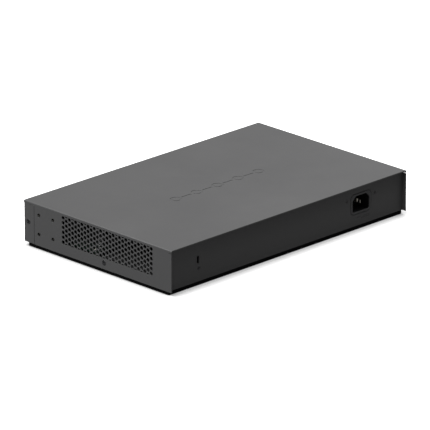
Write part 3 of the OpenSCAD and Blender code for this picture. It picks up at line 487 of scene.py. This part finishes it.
def makeTape():
    material, tree, shader = startMaterial("yellow_tape")
    links = tree.links
    place = newNode(tree, "ShaderNodeTexCoord", (-1300, 0)).outputs["Object"]
    turns = newNode(tree, "ShaderNodeTexWave", (-1000, 100), wave_type="BANDS", bands_direction="Z",
                    wave_profile="SAW")
    setInputs(turns, Scale=tapeLook["turnsPerMetre"] / 6, Distortion=0.8, Detail=2.0)
    links.new(place, turns.inputs["Vector"])
    grain = placeGroup(tree, "grain", (-1000, -250), Grain_Scale=700.0, Flow_Scale=90.0)
    mixed = mixColors(tree, turns.outputs["Fac"], tapeLook["shade"], tapeLook["light"], (-600, 200))
    toned = mixColors(tree, grain.outputs["Flow"], mixed, scaled(tapeLook["light"], 1.15), (-400, 200))
    links.new(toned, shader.inputs["Base Color"])
    links.new(mapRange(tree, turns.outputs["Fac"], 0.0, 1.0, 0.32, 0.2, (-400, -50)),
              shader.inputs["Roughness"])
    shader.inputs["Coat Weight"].default_value = 0.3
    addBump(tree, shader, turns.outputs["Fac"], 0.5, 0.06 * mm)
    return material


# shrink sleeve of a capacitor, with the pale stripe that marks its negative side
sleeveLook = {"sleeve": (0.020, 0.028, 0.055), "stripe": (0.42, 0.44, 0.47), "can": (0.62, 0.62, 0.63)}


def makeCanSleeve():
    material, tree, shader = startMaterial("can_sleeve")
    links = tree.links
    grain = placeGroup(tree, "grain", (-1000, -250), Grain_Scale=600.0, Flow_Scale=60.0)
    normal = newNode(tree, "ShaderNodeNewGeometry", (-1300, 200)).outputs["Normal"]
    split = newNode(tree, "ShaderNodeSeparateXYZ", (-1100, 200))
    links.new(normal, split.inputs[0])
    across = mathNode(tree, "ABSOLUTE", split.outputs["Y"], None, (-900, 250))
    narrow = mapRange(tree, across, 0.28, 0.32, 1.0, 0.0, (-700, 250))
    front = mapRange(tree, split.outputs["X"], 0.3, 0.5, 0.0, 1.0, (-700, 50))
    stripe = mathNode(tree, "MULTIPLY", narrow, front, (-500, 150))
    top = mapRange(tree, split.outputs["Z"], 0.9, 0.97, 0.0, 1.0, (-700, -100))
    body = mixColors(tree, grain.outputs["Flow"], scaled(sleeveLook["sleeve"], 0.8),
                     scaled(sleeveLook["sleeve"], 1.3), (-400, 350))
    striped = mixColors(tree, stripe, body, sleeveLook["stripe"], (-250, 300))
    links.new(mixColors(tree, top, striped, sleeveLook["can"], (-100, 250)), shader.inputs["Base Color"])
    links.new(top, shader.inputs["Metallic"])
    links.new(mapRange(tree, grain.outputs["Flow"], 0.3, 0.7, 0.28, 0.4, (-400, -50)),
              shader.inputs["Roughness"])
    addBump(tree, shader, grain.outputs["Height"], 0.3, 0.02 * mm)
    return material


# inlet moulding: the rim is matt in the panel tone, and the socket inside is painted darker with depth as
# painted shade in the recess
inletDepthShadeLook = {"rim": (0.082, 0.082, 0.084), "socket": (0.008, 0.008, 0.009), "from": 97.2, "to": 98.6,
             "rough": 0.52}


def makeInletPlasticWithDepthShade():
    material, tree, shader = startMaterial("inlet_plastic")
    links = tree.links
    grain = placeGroup(tree, "grain", (-1000, -250), Grain_Scale=1800.0, Flow_Scale=60.0)
    place = newNode(tree, "ShaderNodeTexCoord", (-1300, 200)).outputs["Object"]
    split = newNode(tree, "ShaderNodeSeparateXYZ", (-1100, 200))
    links.new(place, split.inputs[0])
    # painted shade: the socket colour darkens from the rim into the recess by depth alone, standing in for
    # the shade inside it
    outer = mapRange(tree, split.outputs["Y"], inletDepthShadeLook["from"] * mm, inletDepthShadeLook["to"] * mm, 0.0, 1.0,
                     (-900, 200))
    rim = mixColors(tree, grain.outputs["Flow"], scaled(inletDepthShadeLook["rim"], 0.85),
                    scaled(inletDepthShadeLook["rim"], 1.15), (-700, 300))
    links.new(mixColors(tree, outer, inletDepthShadeLook["socket"], rim, (-450, 250)), shader.inputs["Base Color"])
    links.new(mapRange(tree, grain.outputs["Flow"], 0.3, 0.7, inletDepthShadeLook["rough"] - 0.06,
                       inletDepthShadeLook["rough"] + 0.07, (-450, -50)),
              shader.inputs["Roughness"])
    shader.inputs["Specular IOR Level"].default_value = 0.3
    addBump(tree, shader, grain.outputs["Height"], 0.5, 0.02 * mm)
    return material


# clear acrylic light pipe, faintly milky inside
pipeLook = {"color": (0.80, 0.84, 0.82), "milk": 0.55, "smooth": 0.10, "rough": 0.24, "bend": 1.49}


def makeLightPipe():
    material, tree, shader = startMaterial("light_pipe")
    links = tree.links
    grain = placeGroup(tree, "grain", (-900, 100), Grain_Scale=800.0, Flow_Scale=160.0)
    body = mixColors(tree, grain.outputs["Flow"], scaled(pipeLook["color"], 0.85), pipeLook["color"],
                     (-500, 200))
    links.new(body, shader.inputs["Base Color"])
    links.new(mapRange(tree, grain.outputs["Flow"], 0.3, 0.7, pipeLook["smooth"], pipeLook["rough"],
                       (-500, -50)),
              shader.inputs["Roughness"])
    shader.inputs["Transmission Weight"].default_value = 1.0 - pipeLook["milk"]
    shader.inputs["IOR"].default_value = pipeLook["bend"]
    addBump(tree, shader, grain.outputs["Height"], 0.2, 0.01 * mm)
    return material


materials["copper_wire"] = makeCopperWire()
materials["yellow_tape"] = makeTape()
materials["can_sleeve"] = makeCanSleeve()
materials["light_pipe"] = makeLightPipe()
materials["inlet_plastic"] = makeInletPlasticWithDepthShade()
print("finishes made:", len(materials))

# finishes on the carried-over nodes

slotOf = {part["node"]: part["material_slot"] for part in frame["record"]["subparts"]}


def dress(piece, name):
    piece.data.materials.clear()
    piece.data.materials.append(materials[name])


for node, part in frame["nodes"].items():
    dress(part, slotOf[node])

# softer edges on the carried-over nodes: bevel widths in millimetres, and tubes rounded instead
softEdges = {
    0.18: ["top_cover", "base_pan", "front_bezel", "bottom_plate", "lock_bracket", "fan_bracket"],
    0.12: ["jack_shell_1", "jack_shell_2", "jack_shell_3", "psu_heatsinks", "switch_heatsink",
           "status_light_pipe"],
    0.30: ["inlet_body", "transformer_core", "transformer_winding", "power_transistors", "filter_capacitor",
           "psu_connectors", "board_headers", "power_inductors", "port_magnetics", "button_switch"],
    0.15: ["jack_insert_1", "jack_insert_2", "jack_insert_3", "fan_frame_1", "fan_frame_2", "board_chips",
           "switch_chip", "line_fuse", "port_light_pipes", "psu_board", "main_board"],
}
tubes = ["supply_harness", "fan_leads"]
turned = ["bulk_capacitors", "output_capacitors", "board_capacitors", "standoffs", "rack_ear_nuts",
          "earth_stud", "board_screws", "fan_screws"]
edges = {"turnedWidth": 0.1, "cornerGap": 0.002, "flat": 1, "sharp": 40}


def joinCorners(part):
    weld = part.modifiers.new("join corners", "WELD")
    weld.merge_threshold = edges["cornerGap"] * mm


def softenNode(node, width):
    part = frame["nodes"][node]
    joinCorners(part)
    flat = part.modifiers.new("flat faces", "DECIMATE")
    flat.decimate_type = "DISSOLVE"
    flat.angle_limit = math.radians(edges["flat"])
    bevel = part.modifiers.new("soft edges", "BEVEL")
    bevel.width = width * mm
    bevel.segments = 2
    bevel.limit_method = "ANGLE"
    bevel.angle_limit = math.radians(edges["sharp"])
    bevel.harden_normals = True


def roundTube(node):
    part = frame["nodes"][node]
    joinCorners(part)
    smooth = part.modifiers.new("round", "SUBSURF")
    smooth.levels = smooth.render_levels = 1


for width, names in softEdges.items():
    for node in names:
        softenNode(node, width)
for node in turned:
    softenNode(node, edges["turnedWidth"])
for node in tubes:
    roundTube(node)
print("edges softened")

# pieces, in millimetres, and the places on the case that several of them share
shell = {"side": 165, "rear": 98.7, "inletX": -104.3, "inletZ": 27.0, "screwApart": 20, "screwRise": 5.6}


def addPiece(name, shape, look, body, stands=(), sharp=38):
    mesh = bpy.data.meshes.new(name)
    bmesh.ops.recalc_face_normals(shape, faces=shape.faces)
    shape.to_mesh(mesh)
    shape.free()
    mesh.transform(Matrix.Scale(mm, 4))
    for polygon in mesh.polygons:
        polygon.use_smooth = True
    mesh.set_sharp_from_angle(angle=math.radians(sharp))
    piece = bpy.data.objects.new(name, mesh)
    bpy.context.scene.collection.objects.link(piece)
    dress(piece, look)
    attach(piece, body)
    if stands:
        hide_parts(*stands)


def joinRings(shape, rings):
    for low, high in zip(rings, rings[1:]):
        for k in range(max(len(low), len(high))):
            corners = []
            for vert in (low[k % len(low)], low[(k + 1) % len(low)], high[(k + 1) % len(high)],
                         high[k % len(high)]):
                if vert not in corners:
                    corners.append(vert)
            if len(corners) > 2:
                shape.faces.new(corners)


# angles of one full turn, by default starting at zero
def turnSteps(count, offset=0.0):
    return [2 * math.pi * (k + offset) / count for k in range(count)]


# outline of (radius, height) pairs turned about z, then put in place
def lathe(shape, outline, place, sides):
    rings = []
    for radius, height in outline:
        if radius < 0.001:
            rings.append([shape.verts.new(place @ Vector((0, 0, height)))])
            continue
        rings.append([shape.verts.new(place @ Vector((radius * math.cos(t), radius * math.sin(t), height)))
                      for t in turnSteps(sides)])
    joinRings(shape, rings)


# frame whose z axis looks along a direction
def lookAlong(at, direction):
    return Matrix.Translation(Vector(at)) @ Vector(direction).to_track_quat("Z", "Y").to_matrix().to_4x4()


def tube(shape, points, radius, sides):
    rings = []
    side = None
    for i, point in enumerate(points):
        ahead = points[min(i + 1, len(points) - 1)]
        behind = points[max(i - 1, 0)]
        along = (Vector(ahead) - Vector(behind)).normalized()
        if side is None:
            side = along.orthogonal().normalized()
        side = (side - along * side.dot(along)).normalized()
        up = along.cross(side)
        rings.append([shape.verts.new(Vector(point) + radius * (math.cos(t) * side + math.sin(t) * up))
                      for t in turnSteps(sides)])
    joinRings(shape, rings)
    for ring in (rings[0], rings[-1]):
        shape.faces.new(ring)


def softStep(value, low, high):
    share = min(1.0, max(0.0, (value - low) / (high - low)))
    return share * share * (3 - 2 * share)


# screws: flush countersunk head with a tapered cross recess
screws = {
    "head": 2.8, "shank": 1.5, "headHeight": 1.0, "rimRound": 0.12, "tipEase": 0.3,
    "armHalf": 0.42, "armLength": 1.75, "armTaper": 0.45, "armRoot": 0.75, "armFlare": 0.5, "recess": 0.8,
    "wallInside": (0.08, 0.12), "wallOutside": 0.06, "sides": 72, "rings": 26,
    "cover": {"places": [(side * shell["side"], 9.8, 10.5) for side in (1, -1)], "length": 3.6, "size": 1.0},
    "bezel": {"places": [(side * shell["side"], -97.3, 25.6) for side in (1, -1)], "length": 5.0,
              "size": 1.0},
    "inlet": {"places": [(shell["inletX"] + side * shell["screwApart"], shell["rear"],
                          shell["inletZ"] + shell["screwRise"]) for side in (-1, 1)],
              "length": 8.0, "size": 1.0},
    "lock": {"places": [(123, shell["rear"], 17.5)], "length": 6.0, "size": 0.75},
}


def crossDepth(x, y):
    nearer, farther = min(abs(x), abs(y)), max(abs(x), abs(y))
    taper = 1 - screws["armTaper"] * farther / screws["armLength"]
    width, length = screws["armHalf"] * (screws["armRoot"] + screws["armFlare"] * taper), screws["armLength"]
    sideWall, endWall = screws["wallInside"]
    inside = 1 - softStep(nearer, width - sideWall, width + screws["wallOutside"])
    inside *= 1 - softStep(farther, length - endWall, length + screws["wallOutside"])
    return screws["recess"] * inside * taper


def screwShape(shape, place, length, size):
    head, rim, shank = screws["head"], screws["rimRound"], screws["shank"]
    turns = turnSteps(screws["sides"], 0.5)
    rings = [[shape.verts.new(place @ Vector((0, 0, -crossDepth(0, 0) * size)))]]
    for i in range(1, screws["rings"] + 1):
        radius = (head - rim) * i / screws["rings"]
        flat = [(radius * math.cos(t), radius * math.sin(t)) for t in turns]
        rings.append([shape.verts.new(place @ (Vector((x, y, -crossDepth(x, y))) * size)) for x, y in flat])
    tip = -length / size
    under = [(head, -rim), (shank, -screws["headHeight"]), (shank, tip + screws["tipEase"]),
             (shank - screws["tipEase"], tip)]
    for radius, height in under:
        rings.append([shape.verts.new(place @ (Vector((radius * math.cos(t), radius * math.sin(t), height))
                                               * size)) for t in turns])
    joinRings(shape, rings)
    shape.faces.new(rings[-1])


def addScrews(name, group, look, *stands):
    shape = bmesh.new()
    for x, y, z in group["places"]:
        outward = (0, 1, 0) if y == shell["rear"] else (math.copysign(1, x), 0, 0)
        screwShape(shape, lookAlong((x, y, z), outward), group["length"], group["size"])
    addPiece(name, shape, look, "case", stands, 30)


addScrews("side_screws", screws["cover"], "dark_screw", "cover_screws")
addScrews("front_side_screws", screws["bezel"], "dark_screw", "bezel_screws")
addScrews("inlet_panel_screws", screws["inlet"], "pan_steel", "inlet_screws")
addScrews("lock_panel_screw", screws["lock"], "dark_screw", "lock_bracket_screw")

# feet: turned rubber, with a rounded rim and a shallow dish underneath
feet = {
    "across": 141, "along": 79.5, "sides": 56,
    "outline": [(0, 0.30), (2.6, 0.28), (3.0, 0.12), (3.4, 0.02), (4.0, 0.0), (6.1, 0.0), (6.6, 0.05),
                (6.88, 0.2), (6.98, 0.45), (7.0, 1.3), (0, 1.3)],
}


def addFeet():
    shape = bmesh.new()
    for x in (-feet["across"], feet["across"]):
        for y in (-feet["along"], feet["along"]):
            lathe(shape, feet["outline"], Matrix.Translation((x, y, 0)), feet["sides"])
    addPiece("feet", shape, "foot_rubber", "case", ["rubber_feet"], 50)


addFeet()

# inlet blades: drawn strips with rounded corners and eased tips
blades = {
    "places": [(-7, -2.6, 7.0), (0, 1.4, 4.5), (7, -2.6, 7.0)],  # from the inlet's middle, and depth
    "wide": 2.0, "tall": 4.0, "corner": 0.35, "back": 78.9, "sides": 24,
    "ease": 1.1, "tipPull": 0.62, "tipCorner": 0.9, "tipSteps": 6,
    "tabEnd": 71.4, "tabWide": 0.8, "tabTall": 6.3, "tabTip": 5.2, "tabEase": 0.8, "tabCorner": 0.15,
    "tabGap": 0.01,
}


def roundedRing(shape, center, wide, tall, corner, sides):
    ring = []
    for t in turnSteps(sides, 0.5):
        across, up = math.cos(t), math.sin(t)
        px = math.copysign(wide / 2 - corner, across) + corner * across
        pz = math.copysign(tall / 2 - corner, up) + corner * up
        ring.append(shape.verts.new((center[0] + px, center[1], center[2] + pz)))
    return ring


def addCapped(shape, rings):
    joinRings(shape, rings)
    shape.faces.new(rings[0])
    shape.faces.new(rings[-1])


def addBlades():
    shape = bmesh.new()
    wide, tall, corner, sides = (blades[key] for key in ("wide", "tall", "corner", "sides"))
    ease, back, tabEnd, tabTall = (blades[key] for key in ("ease", "back", "tabEnd", "tabTall"))
    for right, high, deep in blades["places"]:
        x, z, tip = shell["inletX"] + right, shell["inletZ"] + high, shell["rear"] - deep
        rings = [roundedRing(shape, (x, back, z), wide, tall, corner, sides)]
        for step in range(blades["tipSteps"] + 1):
            turn = step / blades["tipSteps"] * math.pi / 2
            pull = ease * (1 - math.cos(turn)) * blades["tipPull"]
            rings.append(roundedRing(shape, (x, tip - ease + ease * math.sin(turn), z), wide - 2 * pull,
                                     tall - 2 * pull, corner * blades["tipCorner"], sides))
        addCapped(shape, rings)
        tab = [(tabEnd, blades["tabTip"]), (tabEnd + blades["tabEase"], tabTall),
               (back - blades["tabGap"], tabTall)]
        addCapped(shape, [roundedRing(shape, (x, y, z), blades["tabWide"], high, blades["tabCorner"], sides)
                          for y, high in tab])
    addPiece("inlet_blades", shape, "nickel", "case", ["inlet_pins"], 40)


addBlades()

# mode button: slightly dished cap with an eased rim, a collar and a stem
button = {
    "at": (-112, -103.3, 15.2), "sides": 48,
    "outline": [(0, -0.16), (1.2, -0.13), (1.9, -0.04), (2.2, 0), (2.4, -0.06), (2.5, -0.2), (2.5, -1.0),
                (3.5, -1.0), (3.5, -2.0), (1.5, -2.0), (1.5, -8.2), (1.4, -8.3), (0, -8.3)],
}


def addButton():
    shape = bmesh.new()
    lathe(shape, button["outline"], lookAlong(button["at"], (0, -1, 0)), button["sides"])
    addPiece("mode_cap", shape, "button_plastic", "mode_button", ["mode_button"])


addButton()

# fan rotors: rounded cup and curved, tapering blades
rotor = {
    "x": -158.5, "z": 25.6, "places": {"fan_rotor_1": -14, "fan_rotor_2": 34},
    "cup": [(0, 0.25), (3.2, 0.25), (3.6, 0), (7.3, 0), (8.1, 0.35), (8.5, 1.2), (8.5, 12.8), (8.3, 13),
            (7.5, 13), (7.3, 12.8), (7.3, 1.5), (1, 1.5), (1, 15), (0, 15)],
    "blades": 7, "root": 8.0, "tip": 18.1, "middle": 6.5, "chords": (12.5, 14.5), "pitches": (54, 40),
    "camber": 1.3, "thick": 0.55, "thinning": 0.75, "sweep": 12, "halfDepth": 6.3,
    "stations": [0, 0.12, 0.25, 0.4, 0.55, 0.7, 0.85, 0.96, 1.0], "chordSteps": 12, "cupSides": 56,
}


def bladePoint(center, index, out, along, side):
    radius = rotor["root"] + (rotor["tip"] - rotor["root"]) * out
    chord = rotor["chords"][0] + (rotor["chords"][1] - rotor["chords"][0]) * out
    pitch = math.radians(rotor["pitches"][0] + (rotor["pitches"][1] - rotor["pitches"][0]) * out)
    outer = (2 * along) ** 2
    bow = rotor["camber"] * (1 - outer) + side * rotor["thick"] * (1 - outer * rotor["thinning"])
    axial = -along * chord * math.sin(pitch) + bow * math.cos(pitch)
    sideways = along * chord * math.cos(pitch) + bow * math.sin(pitch)
    turn = math.radians(360 / rotor["blades"] * index + rotor["sweep"] * out) + sideways / radius
    axial = min(rotor["halfDepth"], max(-rotor["halfDepth"], axial))
    return center + Vector((axial + rotor["middle"], -radius * math.sin(turn), radius * math.cos(turn)))


def addRotor(node, y):
    shape = bmesh.new()
    center = Vector((rotor["x"], y, rotor["z"]))
    lathe(shape, rotor["cup"], lookAlong(center, (1, 0, 0)), rotor["cupSides"])
    alongs = [k / rotor["chordSteps"] - 0.5 for k in range(rotor["chordSteps"] + 1)]
    for index in range(rotor["blades"]):
        rings = []
        for out in rotor["stations"]:
            loop = [bladePoint(center, index, out, a, 1) for a in alongs]
            loop += [bladePoint(center, index, out, a, -1) for a in reversed(alongs[1:-1])]
            rings.append([shape.verts.new(p) for p in loop])
        addCapped(shape, rings)
    addPiece("rotor_of_" + node, shape, "fan_plastic", node, [node])


for node, y in rotor["places"].items():
    addRotor(node, y)

# choke: ferrite ring with two separate windings
choke = {"at": (-124, 26, 24.1), "ring": 8.5, "core": 2.85, "wire": 0.5, "wound": 3.42, "turns": 15,
         "starts": (14, 194), "spread": 152, "stepsPerTurn": 18, "coreSteps": 64, "coreSides": 24,
         "wireSides": 8}


def chokePoint(turn, around, reach):
    radius = choke["ring"] + reach * math.cos(around)
    return Vector(choke["at"]) + Vector((reach * math.sin(around), radius * math.cos(turn),
                                         radius * math.sin(turn)))


def addChoke():
    core = bmesh.new()
    rings = [[core.verts.new(chokePoint(turn, around, choke["core"]))
              for around in turnSteps(choke["coreSides"])] for turn in turnSteps(choke["coreSteps"])]
    joinRings(core, rings + [rings[0]])
    addPiece("choke_core", core, "ferrite", "case", ["filter_choke"])
    wire = bmesh.new()
    for start in choke["starts"]:
        steps = choke["turns"] * choke["stepsPerTurn"]
        path = []
        for i in range(steps + 1):
            turn = math.radians(start + choke["spread"] * i / steps)
            path.append(chokePoint(turn, 2 * math.pi * choke["turns"] * i / steps, choke["wound"]))
        tube(wire, path, choke["wire"], choke["wireSides"])
    addPiece("choke_wire", wire, "copper_wire", "case")


addChoke()

# printed marks below the inlet: plain bars, with no lettering
marks = {"bars": [(-112.5, 12.6, 9.5, 0.7), (-101.5, 12.6, 6.0, 0.7), (-111.0, 11.0, 12.5, 0.7)],
         "thick": 0.03, "sunk": 0.05, "sides": 16}


def addMarks():
    shape = bmesh.new()
    for x, z, long, high in marks["bars"]:
        rings = [roundedRing(shape, (x, y, z), long, high, high / 2, marks["sides"])
                 for y in (shell["rear"] - marks["sunk"], shell["rear"] + marks["thick"])]
        joinRings(shape, rings)
        shape.faces.new(rings[-1])
    addPiece("printed_marks", shape, "ink", "case")


addMarks()

# room: pale floor, soft light

room = {
    "floorReach": 6.0,
    "floorDrop": 0.02,
    "floorSeen": 0.93,
    "floorBounce": 0.16,
    "floorGlow": 0.55,
    "contactReach": 0.02,
    "sky": 0.20,
}


# floor that looks pale, yet throws little light back up; to the camera it also glows as painted light that
# lightens its cast shadows, and ambient occlusion darkens its colour and glow near the case as a painted
# contact shadow
def makeFloor():
    material, tree, shader = startMaterial("floor")
    grain = placeGroup(tree, "grain", (-900, 0), Grain_Scale=40.0, Flow_Scale=3.0)
    seen = room["floorSeen"]
    pale = mixColors(tree, grain.outputs["Flow"], (seen * 0.99,) * 3, (seen,) * 3, (-600, 200))
    looked = newNode(tree, "ShaderNodeLightPath", (-600, -100)).outputs["Is Camera Ray"]
    # painted contact shadow: ambient occlusion darkens the floor's seen colour near the case
    contactShadowOcclusion = newNode(tree, "ShaderNodeAmbientOcclusion", (-600, -300), samples=8)
    contactShadowOcclusion.inputs["Distance"].default_value = room["contactReach"]
    shaded = mixColors(tree, 1.0, pale, contactShadowOcclusion.outputs["Color"], (-400, 200), "MULTIPLY")
    tree.links.new(mixColors(tree, looked, (room["floorBounce"],) * 3, shaded, (-200, 100)),
                   shader.inputs["Base Color"])
    # painted light: the floor glows for camera rays only, and this glow is darkened near the case as a
    # painted contact shadow
    cameraGlowWithPaintedShadow = mixColors(tree, looked, (0, 0, 0), contactShadowOcclusion.outputs["Color"], (-200, -200))
    tree.links.new(cameraGlowWithPaintedShadow, shader.inputs["Emission Color"])
    shader.inputs["Emission Strength"].default_value = room["floorGlow"]
    shader.inputs["Roughness"].default_value = 0.9
    shader.inputs["Specular IOR Level"].default_value = 0.1
    return material


def addRoom():
    bpy.context.scene.view_settings.view_transform = "Standard"
    mesh = bpy.data.meshes.new("floor")
    reach = room["floorReach"]
    low = -room["floorDrop"] * mm
    corners = [(-reach, -reach, low), (reach, -reach, low), (reach, reach, low), (-reach, reach, low)]
    mesh.from_pydata(corners, [], [(0, 1, 2, 3)])
    floor = bpy.data.objects.new("floor", mesh)
    bpy.context.scene.collection.objects.link(floor)
    mesh.materials.append(makeFloor())
    world = bpy.data.worlds.new("soft sky")
    world.use_nodes = True
    sky = world.node_tree.nodes["Background"]
    sky.inputs["Color"].default_value = (1, 1, 1, 1)
    sky.inputs["Strength"].default_value = room["sky"]
    bpy.context.scene.world = world


# one broad lamp high over the front right, and a soft panel over the rear left
suns = {
    "overhead": {"toward": (0.42, -0.28, 0.9), "spread": 66, "strength": 4.1},
}
panels = {
    "rearLeft": {"at": (-0.30, 0.16, 0.55), "aim": (-0.12, 0.04, 0), "size": 0.35, "power": 1.3},
}


def placeLight(name, data, toward, at):
    light = bpy.data.objects.new(name, data)
    light.location = at
    light.rotation_mode = "QUATERNION"
    light.rotation_quaternion = Vector(toward).to_track_quat("Z", "Y")
    bpy.context.scene.collection.objects.link(light)


def addLamps():
    for name, lamp in suns.items():
        data = bpy.data.lights.new(name, "SUN")
        data.angle = math.radians(lamp["spread"])
        data.energy = lamp["strength"]
        placeLight(name, data, lamp["toward"], (0, 0, 1))
    for name, lamp in panels.items():
        data = bpy.data.lights.new(name, "AREA")
        data.shape = "SQUARE"
        data.size = lamp["size"]
        data.energy = lamp["power"]
        placeLight(name, data, Vector(lamp["at"]) - Vector(lamp["aim"]), lamp["at"])


addRoom()
addLamps()
print("room and lamps placed")
